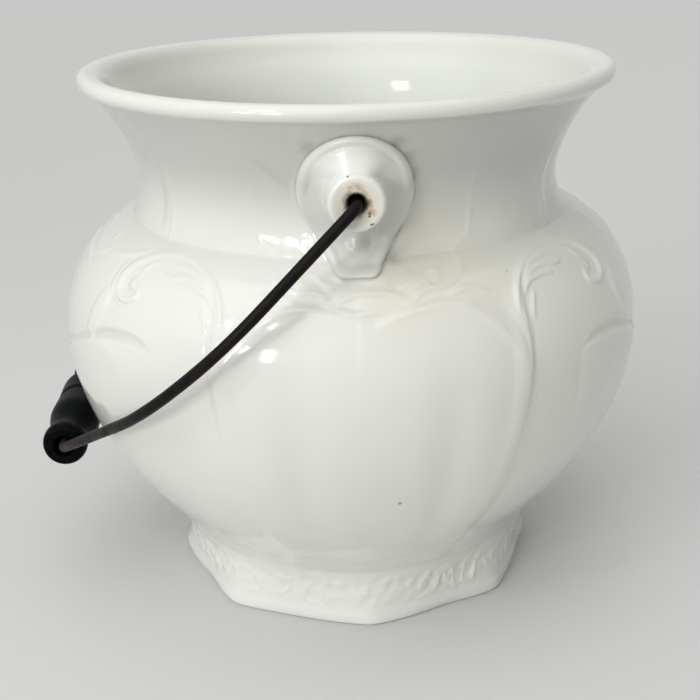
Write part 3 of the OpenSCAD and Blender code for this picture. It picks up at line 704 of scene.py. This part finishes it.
def lug(name):
    """A lug at the front: bored boss, its trumpet sweep, and the drop-shaped pad with a beaded rim."""
    columns = 168
    turn = np.linspace(0, 2 * math.pi, columns, endpoint=False)
    reach = pad_reach(turn)
    neck_at_axis = float(outer_r(BOSS_Z))
    bore_end = neck_at_axis + BORE_BACK
    rings = []

    def turned(radius, y):
        """A ring about the boss's axis, y from the jar's axis."""
        x, z = radius * np.cos(turn), radius * np.sin(turn)
        rings.append(np.stack([x, 0 * x - y, BOSS_Z + z], 1))

    def on_neck(x, z, lift):
        """Distance from the jar's axis plane of points lifted off the neck."""
        r = outer_r(BOSS_Z + z) + crease_fill(BOSS_Z + z) + lift
        return np.sqrt(r * r - x * x)

    turned(BORE_R * 0.6, bore_end)
    turned(BORE_R * 0.96, bore_end)
    turned(BORE_R, bore_end + 0.4)
    for t in np.linspace(0.2, 1, 5):
        turned(BORE_R, mix(bore_end, TIP_Y - MOUTH_DEPTH, t))
    for t in np.linspace(0.15, 1, 8):
        flare = 1 - math.sqrt(max(0.0, 1 - t * t))
        radius = mix(BORE_R, MOUTH_R, mix(flare, t, MOUTH_CONE))
        turned(radius, mix(TIP_Y - MOUTH_DEPTH, TIP_Y - MOUTH_EDGE, t))
    for t in np.linspace(0.1, 1, 8):
        turned(mix(MOUTH_R, BOSS_TIP_R - BOSS_ROUND, t), TIP_Y - TIP_CROWN * (1 - t))
    for t in np.linspace(0, math.pi / 2, 9)[1:]:
        turned(BOSS_TIP_R - BOSS_ROUND + BOSS_ROUND * math.sin(t), TIP_Y - BOSS_ROUND * (1 - math.cos(t)))

    # From the tip's edge out to the pad's rim, in even steps along each heading
    fine = np.concatenate([np.linspace(0, 0.12, 120, endpoint=False), np.linspace(0.12, 1, 220)])[:, None]
    radius = mix(BOSS_TIP_R, reach[None, :] - 0.02, fine)
    x, z = radius * np.cos(turn), radius * np.sin(turn)
    pad = on_neck(x, z, pad_lift(x, z))
    root = neck_at_axis + PAD_T - SWEEP_SINK
    taper = np.clip((radius - BOSS_TIP_R) / (BOSS_ROOT_R - BOSS_TIP_R), 0, 1)
    short = np.clip(BOSS_ROOT_R + BOSS_SWEEP - radius, 0, BOSS_SWEEP)
    sweep = root + BOSS_SWEEP - np.sqrt(BOSS_SWEEP**2 - short**2)
    past = np.clip(radius - BOSS_ROOT_R - BOSS_SWEEP, 0, None)
    flank = np.where(taper < 1, mix(TIP_Y - BOSS_ROUND, root + BOSS_SWEEP, taper), sweep - past)
    inner = reach - RIM_ROUND
    rim_x, rim_z = inner * np.cos(turn), inner * np.sin(turn)
    rim_y = on_neck(rim_x, rim_z, pad_lift(rim_x, rim_z))
    along = np.clip((radius - BOSS_TIP_R) / (inner - BOSS_TIP_R), 0, 1)
    above = np.exp(-(((turn - math.pi / 2) / RAMP_SPREAD) ** 4))
    above = above * (1 - smooth((along - RAMP_END) / (1 - RAMP_END)))
    ramp = mix(pad, mix(TIP_Y - BOSS_ROUND, rim_y, along), above)
    soft = SWEEP_BLEND * smooth((reach[None, :] - radius) / BLEND_FADE) + LEAST_BLEND
    y = larger(flank, np.maximum(pad, ramp), soft)
    y = np.minimum(y, TIP_Y - BOSS_ROUND + TIP_SLOPE * (radius - BOSS_TIP_R))
    outward = np.diff(radius, axis=0, prepend=radius[:1])
    backward = np.diff(y, axis=0, prepend=y[:1])
    run = np.cumsum(np.hypot(outward, backward), axis=0)
    for t in np.linspace(0, 1, 52)[1:]:
        r = np.array([np.interp(t * run[-1, k], run[:, k], radius[:, k]) for k in range(columns)])
        depth = np.array([np.interp(t * run[-1, k], run[:, k], y[:, k]) for k in range(columns)])
        rings.append(np.stack([r * np.cos(turn), -depth, BOSS_Z + r * np.sin(turn)], 1))
    for share in (1.0, 0.8, 0.55, 0.3, 0.12):
        x, z = share * reach * np.cos(turn), share * reach * np.sin(turn)
        rings.append(np.stack([x, -on_neck(x, z, SLIP), BOSS_Z + z], 1))
    return skin(name, np.array(rings), (0, -bore_end, BOSS_Z), (0, -neck_at_axis - SLIP, BOSS_Z))


# The bail and its grip
def bail_path():
    """Points along the wire's middle from pin to pin, in the bail's own plane."""
    pin_end = (float(outer_r(BOSS_Z)) + BORE_BACK + PIN_GAP, 0.0)
    half = [np.array(p) for p in [pin_end] + BAIL_CORNERS]
    corners = [p * (-1, 1) for p in half] + half[::-1]
    bends = BAIL_BENDS + BAIL_BENDS[::-1]
    path = [corners[0]]
    for i in range(1, len(corners) - 1):
        before, after = corners[i] - corners[i - 1], corners[i + 1] - corners[i]
        gaps = np.linalg.norm(before), np.linalg.norm(after)
        into, out = before / gaps[0], after / gaps[1]
        turn = math.acos(np.clip(into @ out, -1, 1))
        side = np.sign(into[0] * out[1] - into[1] * out[0])
        radius = min(bends[i], BEND_SHARE * min(gaps) / math.tan(turn / 2))
        start = corners[i] - into * radius * math.tan(turn / 2)
        normal = side * np.array([-into[1], into[0]])
        for t in np.linspace(0, turn, max(5, int(math.degrees(turn) / BEND_STEP))):
            path.append(start + into * radius * math.sin(t) + normal * radius * (1 - math.cos(t)))
    path.append(corners[-1])
    dense = [path[0]]
    for p in path[1:]:
        steps = max(1, int(np.linalg.norm(p - dense[-1]) / WIRE_STEP))
        first = dense[-1]
        dense.extend(mix(first, p, k / steps) for k in range(1, steps + 1))
    return np.array(dense)


def bail():
    """The bail: one round wire, a little uneven from drawing, with eased ends."""
    columns = 24
    path = bail_path()
    gaps = np.linalg.norm(np.diff(path, axis=0), axis=1)
    run = np.concatenate([[0], np.cumsum(gaps)])
    ahead = np.gradient(path, axis=0)
    ahead /= np.linalg.norm(ahead, axis=1)[:, None]
    side = np.stack([-ahead[:, 1], ahead[:, 0]], 1)
    turn = np.linspace(0, 2 * math.pi, columns, endpoint=False)
    uneven = WIRE_TRIM + WIRE_WAVER * ripple(run, 0 * run, WIRE_WAVER_SIZE, seed=11)
    from_end = np.minimum(run, run[-1] - run)
    ease = np.sqrt(np.clip(1 - (1 - np.clip(from_end / WIRE_END, 0, 1)) ** 2, LEAST_END, 1))
    radius = WIRE_R * np.minimum(uneven, 1.0) * ease
    rings = []
    for p, s, r in zip(path, side, radius):
        u = p[0] + s[0] * r * np.cos(turn)
        v = p[1] + s[1] * r * np.cos(turn)
        w = r * np.sin(turn)
        x = -v * math.cos(DROP) - w * math.sin(DROP)
        z = PIVOT_Z - v * math.sin(DROP) + w * math.cos(DROP)
        rings.append(np.stack([x, u, z], 1))
    rings = np.array(rings)
    return skin("bail", rings, rings[0].mean(0), rings[-1].mean(0))


def grip():
    """The turned grip: two barrels, a ring groove, coves and beads, and a dished bore."""
    columns = 96
    profile = []
    for (d0, y0), (d1, y1) in zip(GRIP_STATIONS, GRIP_STATIONS[1:]):
        for t in np.linspace(0, 1, 12, endpoint=False):
            profile.append((mix(d0, d1, smooth(t)) / 2, mix(y0, y1, t)))
    bead_d, bead_y = GRIP_STATIONS[-1]
    for t in np.linspace(0, math.pi / 2, 12):
        profile.append((mix(GRIP_END_D, bead_d, math.cos(t)) / 2, mix(bead_y, GRIP_HALF, math.sin(t))))
    for t in np.linspace(0.15, 1, 5):
        profile.append((mix(GRIP_END_D / 2, DISH_R + DISH_EASE, t), GRIP_HALF))
    for t in np.linspace(0, 1, 7):
        profile.append((mix(DISH_R, GRIP_BORE_R, t), mix(GRIP_HALF - DISH_SINK, GRIP_HALF - DISH_DEPTH, t)))
    outer = np.array(profile)
    far = outer[outer[:, 1] > 0]
    loop = np.concatenate([outer[::-1] * (1, -1), far])
    bore_end = GRIP_HALF - DISH_DEPTH - BORE_INSET
    bore = np.linspace(bore_end, -bore_end, 8)
    loop = np.concatenate([loop, np.stack([0 * bore + GRIP_BORE_R, bore], 1)])
    turn = np.linspace(0, 2 * math.pi, columns, endpoint=False)
    loop[:, 0] *= GRIP_EASE
    rings = [np.stack([GRIP_AXIS.x + r * np.cos(turn), 0 * turn + y, GRIP_AXIS.z + r * np.sin(turn)], 1)
             for r, y in loop]
    return skin("grip_turned", np.array(rings))


jar_piece = jar()
front_piece = lug("lug_front")
rear_piece = lug("lug_rear")
for v in rear_piece.data.vertices:
    v.co.x, v.co.y = -v.co.x, -v.co.y
bail_piece = bail()
grip_piece = grip()


# Materials
class Nodes:
    """A short way to write a node tree."""

    def __init__(self, tree):
        self.tree = tree

    def node(self, kind, inputs=None, **settings):
        made = self.tree.nodes.new(kind)
        for key, value in settings.items():
            setattr(made, key, value)
        for key, value in (inputs or {}).items():
            self.feed(made.inputs[key], value)
        return made

    def feed(self, socket, value):
        if isinstance(value, bpy.types.NodeSocket):
            self.tree.links.new(value, socket)
        else:
            socket.default_value = value

    def span(self, value, low, high, to_low=0.0, to_high=1.0):
        inputs = {"Value": value, "From Min": low, "From Max": high, "To Min": to_low, "To Max": to_high}
        return self.node("ShaderNodeMapRange", inputs, interpolation_type="SMOOTHSTEP").outputs["Result"]

    def math(self, operation, a, b):
        return self.node("ShaderNodeMath", {0: a, 1: b}, operation=operation).outputs[0]

    def times(self, a, b):
        return self.math("MULTIPLY", a, b)


class Shader(Nodes):
    """The nodes of a material, with its surface and the place on the object."""

    def __init__(self, name):
        self.material = bpy.data.materials.new(name)
        self.material.use_nodes = True
        super().__init__(self.material.node_tree)
        self.surface = self.tree.nodes["Principled BSDF"]
        self.place = self.node("ShaderNodeTexCoord").outputs["Object"]

    def noise(self, scale, detail=3.0, rough=0.5, place=None):
        inputs = {"Vector": place or self.place, "Scale": scale, "Detail": detail, "Roughness": rough}
        return self.node("ShaderNodeTexNoise", inputs).outputs["Fac"]

    def stretched(self, scale):
        return self.node("ShaderNodeVectorMath", {0: self.place, 1: scale}, operation="MULTIPLY").outputs[0]

    def blend(self, share, a, b):
        made = self.node("ShaderNodeMix", {"Factor": share}, data_type="RGBA")
        self.feed(made.inputs["A"], a)
        self.feed(made.inputs["B"], b)
        return made.outputs["Result"]

    def away(self, point, place=None):
        """Distance in metres from a point given in millimetres."""
        point = tuple(c * MM for c in point)
        inputs = {0: place or self.place, 1: point}
        return self.node("ShaderNodeVectorMath", inputs, operation="DISTANCE").outputs["Value"]

    def near(self, points, inner, outer):
        """1 within inner millimetres of any of the points, 0 past outer."""
        nearest = self.away(points[0])
        for point in points[1:]:
            nearest = self.math("MINIMUM", nearest, self.away(point))
        return self.span(nearest, inner * MM, outer * MM, 1.0, 0.0)

    def attribute(self, name):
        return self.node("ShaderNodeAttribute", attribute_name=name).outputs["Fac"]

    def set(self, **values):
        for key, value in values.items():
            self.feed(self.surface.inputs[key.replace("_", " ")], value)

    def bump(self, height, strength, distance):
        inputs = {"Height": height, "Strength": strength, "Distance": distance * MM}
        self.feed(self.surface.inputs["Normal"], self.node("ShaderNodeBump", inputs).outputs["Normal"])


def rgba(r, g, b):
    return (r, g, b, 1.0)


# Colours of the glaze and its marks, the painted shade and painted highlights on the jar and lugs, the wire,
# the wood, the floor and the light
GLAZE_GREY = rgba(0.775, 0.783, 0.735)
GLAZE_PALE = rgba(0.815, 0.82, 0.775)
GLAZE_POOLED_AND_SHADE = rgba(0.64, 0.645, 0.58)
GLAZE_INSIDE_SHADED = rgba(0.745, 0.778, 0.712)
GLAZE_SHADED = rgba(0.465, 0.48, 0.455)
GLAZE_FOOT = rgba(0.87, 0.875, 0.835)
GLAZE_WARM = rgba(0.76, 0.745, 0.63)
STAIN_TAN = rgba(0.62, 0.55, 0.42)
SEAM_DARK = rgba(0.2, 0.2, 0.18)
SMUDGE_GREY = rgba(0.34, 0.34, 0.31)
SPECK_BROWN = rgba(0.16, 0.13, 0.1)
DOT_BROWN = rgba(0.18, 0.14, 0.11)
LUG_SHADE = rgba(0.5, 0.52, 0.485)
BOSS_HIGHLIGHT = rgba(0.9, 0.905, 0.86)
TIP_CREAM = rgba(0.75, 0.72, 0.61)
RUST_RING = rgba(0.26, 0.15, 0.08)
BORE_SHADE = rgba(0.07, 0.045, 0.03)
RUST_PATCH = rgba(0.5, 0.33, 0.17)
RUST_DOT = rgba(0.11, 0.06, 0.035)
CHIP_DARK = rgba(0.07, 0.06, 0.05)
WIRE_BLACK = rgba(0.0055, 0.004, 0.0045)
WIRE_RUST = rgba(0.016, 0.01, 0.009)
WIRE_RUBBED = rgba(0.05, 0.04, 0.038)
WOOD_BLACK = rgba(0.0012, 0.0018, 0.0024)
WOOD_GRAIN = rgba(0.003, 0.0042, 0.0052)
WOOD_WORN = rgba(0.009, 0.011, 0.012)
FLOOR_GREY = rgba(0.69, 0.69, 0.69)
LIGHT_WHITE = rgba(1.0, 0.995, 0.98)

# Heights where the colour changes: painted shade below the lip, whiter at the foot
GREY_FROM = 190.0
GREY_FULL = 222.0
GREY_FADE = 242.5
GREY_END = 244.5
WHITE_FADE = 24.0
WHITE_END = 32.0

# Places of marks on the jar as (azimuth, height)
WARM_AT = [(14.2, 179.4), (24.0, 179.0), (8.2, 176.0), (17.0, 186.0)]
TAN_AT = [(14.4, 178.6), (12.4, 181.2)]
SOOT_AT = [(-9.3, 230.9), (8.6, 232.6), (11.4, 225.4), (12.6, 218.0), (7.8, 184.9)]
DARK_SEAM_AT = [(12.4, 205.0), (10.8, 196.0), (8.4, 187.0), (12.8, 213.0)]
DOTS_AT = [(7.0, 83.5), (14.6, 177.0), (31.9, 177.0), (41.1, 128.7), (39.8, 163.5)]

# Places of marks on a boss as (across, back from the tip, up from the bore)
RUST_AT = [(-1.9, 0.0, 6.6), (0.6, 0.0, 6.4), (5.6, 0.0, -3.6)]
RUST_DOTS_AT = [(4.9, 0.0, -3.9), (4.7, 0.0, -5.0)]
CHIPS_AT = [(5.4, 0.4, -8.3), (6.1, 0.5, -8.0)]
NICK_AT = [(-3.3, 1.0, 10.6)]


def on_jar(places):
    """Points on the jar's outside from azimuths and heights."""
    return [tuple(around(float(outer_r(z)) + 1.0, a, z)) for a, z in places]


def on_tip(places):
    """Points at a boss's tip from distances across, back from the tip and up from the bore."""
    return [(across, back - TIP_Y, BOSS_Z + up) for across, back, up in places]


def glaze_body(name):
    """White glaze: a faint drift of tone, slow waves in its surface and a few iron specks."""
    s = Shader(name)
    body = s.blend(s.span(s.noise(11.0), 0.35, 0.65), GLAZE_GREY, GLAZE_PALE)
    cells = s.node("ShaderNodeTexVoronoi", {"Vector": s.place, "Scale": 26.0})
    chosen = s.span(cells.outputs["Color"], 0.8, 0.82)
    speck = s.times(chosen, s.span(cells.outputs["Distance"], 0.012, 0.022, 0.8, 0.0))
    body = s.blend(speck, body, SPECK_BROWN)
    s.set(Roughness=0.11, Coat_Weight=0.3, Coat_Roughness=0.03, IOR=1.5)
    s.bump(s.noise(48.0, 2.0), 0.08, 0.6)
    return s, body


def jar_finish():
    """The jar's glaze: glaze pooling in hollows with painted shade there, greener inside with painted shade,
    painted shade under the lip, darker along the lugs' seam, stained by the lug.
    """
    s, body = glaze_body("jar_glaze")
    # Glaze pooled in the carving's hollows, darkened further there as painted shade so that the relief shows
    hollow = s.span(s.attribute("relief"), -0.6, 0.1, 0.55, 0.0)
    body = s.blend(hollow, body, GLAZE_POOLED_AND_SHADE)
    # Greener glaze inside, made darker there as painted shade
    inside = s.attribute("inside")
    body = s.blend(s.times(inside, 0.6), body, GLAZE_INSIDE_SHADED)
    height = s.node("ShaderNodeSeparateXYZ", {"Vector": s.place}).outputs["Z"]
    # Painted shade on the outside of the neck under the lip, fading out near the rim
    grey = s.span(height, GREY_FROM * MM, GREY_FULL * MM)
    shade_under_lip = s.times(grey, s.span(height, GREY_FADE * MM, GREY_END * MM, 0.66, 0.0))
    shade_under_lip = s.times(shade_under_lip, s.span(inside, 0.0, 1.0, 1.0, 0.0))
    body = s.blend(shade_under_lip, body, GLAZE_SHADED)
    body = s.blend(s.span(height, WHITE_FADE * MM, WHITE_END * MM, 0.6, 0.0), body, GLAZE_FOOT)
    mottle = s.span(s.noise(90.0, 4.0, 0.6), 0.35, 0.7)
    warm = s.near(on_jar(WARM_AT), 4.0, 28.0)
    body = s.blend(s.times(warm, 0.7), body, GLAZE_WARM)
    tan = s.times(s.near(on_jar(TAN_AT), 0.5, 7.0), mottle)
    body = s.blend(s.times(tan, 0.75), body, STAIN_TAN)
    soot = s.near(on_jar(SOOT_AT), 0.5, 6.0)
    # A darker line along the pads' outline, strongest at their lower right and near the smudges
    lower_right = s.near(on_jar(DARK_SEAM_AT), 4.0, 12.0)
    seam_dark = s.times(mottle, s.math("MAXIMUM", soot, lower_right))
    seam_dark = s.math("MAXIMUM", s.times(seam_dark, 0.85), 0.05)
    seam = s.times(s.attribute("pad_seam"), seam_dark)
    body = s.blend(seam, body, SEAM_DARK)
    smudge = s.times(soot, s.span(mottle, 0.0, 1.0, 0.3, 0.7))
    body = s.blend(smudge, body, SMUDGE_GREY)
    dots = s.near(on_jar(DOTS_AT), 0.3, 1.3)
    body = s.blend(s.times(dots, 0.8), body, DOT_BROWN)
    s.set(Base_Color=body)
    return s


def lug_finish():
    """The lugs' glaze, with painted shade on the pad round the lower boss, a painted highlight on the boss's
    upper flank, painted shade in the bore, rust from the wire round the hole and small chips at the tip's
    edge.
    """
    s, body = glaze_body("lug_glaze")
    level = s.stretched((1.0, 0.0, 1.0))
    from_axis = s.away((0.0, 0.0, BOSS_Z), level)
    mottle = s.span(s.noise(220.0, 4.0, 0.65), 0.35, 0.62)
    bore = s.span(from_axis, 3.6 * MM, 5.2 * MM, 1.0, 0.0)
    height = s.node("ShaderNodeSeparateXYZ", {"Vector": s.place}).outputs["Z"]
    # Painted shade on the pad round the boss, on its lower part
    below = s.span(height, (BOSS_Z + 2.0) * MM, (BOSS_Z + 15.0) * MM, 0.66, 0.0)
    past_boss = s.span(from_axis, 12.0 * MM, 15.5 * MM)
    round_boss = s.times(past_boss, s.span(from_axis, 20.0 * MM, 27.0 * MM, 0.9, 0.3))
    painted_lug_shade = s.times(round_boss, below)
    body = s.blend(painted_lug_shade, body, LUG_SHADE)
    # Painted highlight: the upper flank of the boss made paler
    above = s.span(height, (BOSS_Z + 2.0) * MM, (BOSS_Z + 11.0) * MM)
    cone = s.times(above, s.span(from_axis, 15.0 * MM, 22.0 * MM, 0.9, 0.0))
    body = s.blend(cone, body, BOSS_HIGHLIGHT)
    face = s.span(from_axis, 7.0 * MM, 11.5 * MM, 0.8, 0.0)
    body = s.blend(face, body, TIP_CREAM)
    ring = s.times(s.span(from_axis, 4.8 * MM, 7.0 * MM, 1.0, 0.0), mottle)
    body = s.blend(s.times(ring, 0.9), body, RUST_RING)
    # Painted shade in the bore and its mouth
    body = s.blend(s.times(bore, 0.9), body, BORE_SHADE)
    patches = s.times(s.near(on_tip(RUST_AT), 0.4, 3.0), mottle)
    body = s.blend(s.times(patches, 0.8), body, RUST_PATCH)
    dots = s.near(on_tip(RUST_DOTS_AT), 0.3, 0.7)
    body = s.blend(dots, body, RUST_DOT)
    chips = s.near(on_tip(CHIPS_AT), 0.35, 0.75)
    chips = s.math("MAXIMUM", chips, s.near(on_tip(NICK_AT), 0.2, 0.7))
    body = s.blend(chips, body, CHIP_DARK)
    s.set(Base_Color=body, Roughness=0.24, Coat_Weight=0.15)
    return s


def wire_finish():
    """Blackened iron wire, browned by rust and rubbed paler where it enters the grip."""
    s = Shader("blackened_wire")
    rust = s.span(s.noise(160.0, 5.0, 0.65), 0.45, 0.72)
    dark = s.blend(rust, WIRE_BLACK, WIRE_RUST)
    ends = [(GRIP_AXIS.x, side * (GRIP_HALF + 2.0), GRIP_AXIS.z) for side in (-1, 1)]
    rubbed = s.times(s.near(ends, 6.0, 26.0), s.span(s.noise(300.0, 4.0), 0.3, 0.7, 0.5, 1.0))
    dark = s.blend(rubbed, dark, WIRE_RUBBED)
    rough = s.span(rust, 0.0, 1.0, 0.42, 0.62)
    s.set(Base_Color=dark, Roughness=rough, Specular_IOR_Level=0.12)
    s.bump(s.noise(420.0, 4.0, 0.6), 0.25, 0.3)
    return s


def wood_finish():
    """Turned wood, blackened and polished by hands, with fine grain along it."""
    s = Shader("black_wood")
    grain = s.noise(260.0, 4.0, 0.6, s.stretched((1.0, 0.08, 1.0)))
    wear = s.span(s.noise(45.0, 4.0, 0.6), 0.5, 0.75)
    dark = s.blend(s.span(grain, 0.4, 0.65), WOOD_BLACK, WOOD_GRAIN)
    dark = s.blend(s.times(wear, 0.5), dark, WOOD_WORN)
    s.set(Base_Color=dark, Roughness=s.span(wear, 0.0, 1.0, 0.36, 0.52), Specular_IOR_Level=0.04)
    s.bump(grain, 0.2, 0.25)
    return s


def dress(piece, body, slot, finish, *nodes):
    piece.data.materials.append(finish.material)
    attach(piece, body)
    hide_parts(*nodes)


lug_glaze = lug_finish()
dress(jar_piece, "jar", "glaze", jar_finish(), "jar_body")
dress(front_piece, "jar", "glaze", lug_glaze, "front_lug")
dress(rear_piece, "jar", "glaze", lug_glaze, "rear_lug")
dress(bail_piece, "bail", "iron_wire", wire_finish(), "bail_wire")
dress(grip_piece, "grip", "black_wood", wood_finish(), "grip")


# Floor, light and camera
BACKDROP = 0.58
GLOW_FULL = 0.996
FLOOR_HALF = 12.0
LAMP_SPREAD = math.radians(50)
LAMP_AIM = Vector((0, 0, 0.13))


def floor():
    size = FLOOR_HALF
    mesh = bpy.data.meshes.new("floor")
    corners = [(-size, -size, 0), (size, -size, 0), (size, size, 0), (-size, size, 0)]
    mesh.from_pydata(corners, [], [(0, 1, 2, 3)])
    piece = bpy.data.objects.new("floor", mesh)
    bpy.context.scene.collection.objects.link(piece)
    s = Shader("floor_paint")
    s.set(Base_Color=FLOOR_GREY, Roughness=0.9, Specular_IOR_Level=0.0)
    mesh.materials.append(s.material)


def lamp(name, place, size, power):
    """A soft area lamp that faces the jar."""
    data = bpy.data.lights.new(name, "AREA")
    data.shape = "RECTANGLE"
    data.size, data.size_y = size
    data.energy = power
    data.spread = LAMP_SPREAD
    made = bpy.data.objects.new(name, data)
    made.location = place
    aim = LAMP_AIM - Vector(place)
    made.rotation_euler = aim.to_track_quat("-Z", "Y").to_euler()
    bpy.context.scene.collection.objects.link(made)


def camera():
    """The photograph's viewpoint: its distance, height, pitch, roll and field of view."""
    turn = math.radians(-1.5)
    distance, height = 0.5941, 0.3288
    pitch, roll, yaw = math.radians(20.60), math.radians(1.25), math.radians(0.09)
    focal_px, image_px = 1245.75, 700
    data = bpy.data.cameras.new("camera")
    data.sensor_width = 36.0
    data.lens = focal_px / image_px * data.sensor_width
    made = bpy.data.objects.new("camera", data)
    made.location = (distance * math.sin(turn), -distance * math.cos(turn), height)
    upright = Euler((math.pi / 2 - pitch, 0, turn + yaw)).to_matrix()
    made.rotation_euler = (upright @ Euler((0, 0, -roll)).to_matrix()).to_euler()
    bpy.context.scene.collection.objects.link(made)
    bpy.context.scene.camera = made


def world():
    """A soft dome with a broad window to the left, glows in front and behind, and a plain pale backdrop."""
    made = bpy.data.worlds.new("studio")
    made.use_nodes = True
    sky = Nodes(made.node_tree)
    heading = sky.node("ShaderNodeTexCoord").outputs["Generated"]

    def glow(azimuth, height, wide, low, high):
        """Light that rises smoothly from low to high towards the middle of a cone."""
        turn, lift = math.radians(azimuth), math.radians(height)
        level = math.cos(lift)
        towards = (math.sin(turn) * level, -math.cos(turn) * level, math.sin(lift))
        along = sky.node("ShaderNodeVectorMath", {0: heading, 1: towards}, operation="DOT_PRODUCT")
        return sky.span(along.outputs["Value"], math.cos(math.radians(wide)), GLOW_FULL, low, high)

    dome = glow(azimuth=0, height=90, wide=50, low=0.2, high=1.35)
    window = glow(azimuth=-45, height=42, wide=50, low=0.0, high=0.9)
    front = glow(azimuth=-10, height=10, wide=50, low=0.0, high=0.37)
    rear = glow(azimuth=180, height=12, wide=50, low=0.0, high=0.5)
    light = sky.math("ADD", sky.math("ADD", dome, rear), sky.math("ADD", window, front))
    ray = sky.node("ShaderNodeLightPath").outputs
    mirrored = sky.math("MAXIMUM", ray["Is Glossy Ray"], ray["Is Transmission Ray"])
    seen = sky.math("MAXIMUM", ray["Is Camera Ray"], mirrored)
    strength = sky.math("MAXIMUM", light, sky.times(seen, BACKDROP))
    background = sky.tree.nodes["Background"]
    sky.feed(background.inputs["Color"], LIGHT_WHITE)
    sky.feed(background.inputs["Strength"], strength)
    bpy.context.scene.world = made


floor()
lamp("window_left", (-1.08, -1.2, 0.64), (0.15, 0.24), 0.24)
lamp("window_right", (-0.82, -1.4, 0.64), (0.15, 0.24), 0.24)
lamp("window_high", (-0.8, -0.98, 1.26), (0.22, 0.22), 0.13)
world()
camera()
bpy.context.scene.view_settings.view_transform = "Standard"
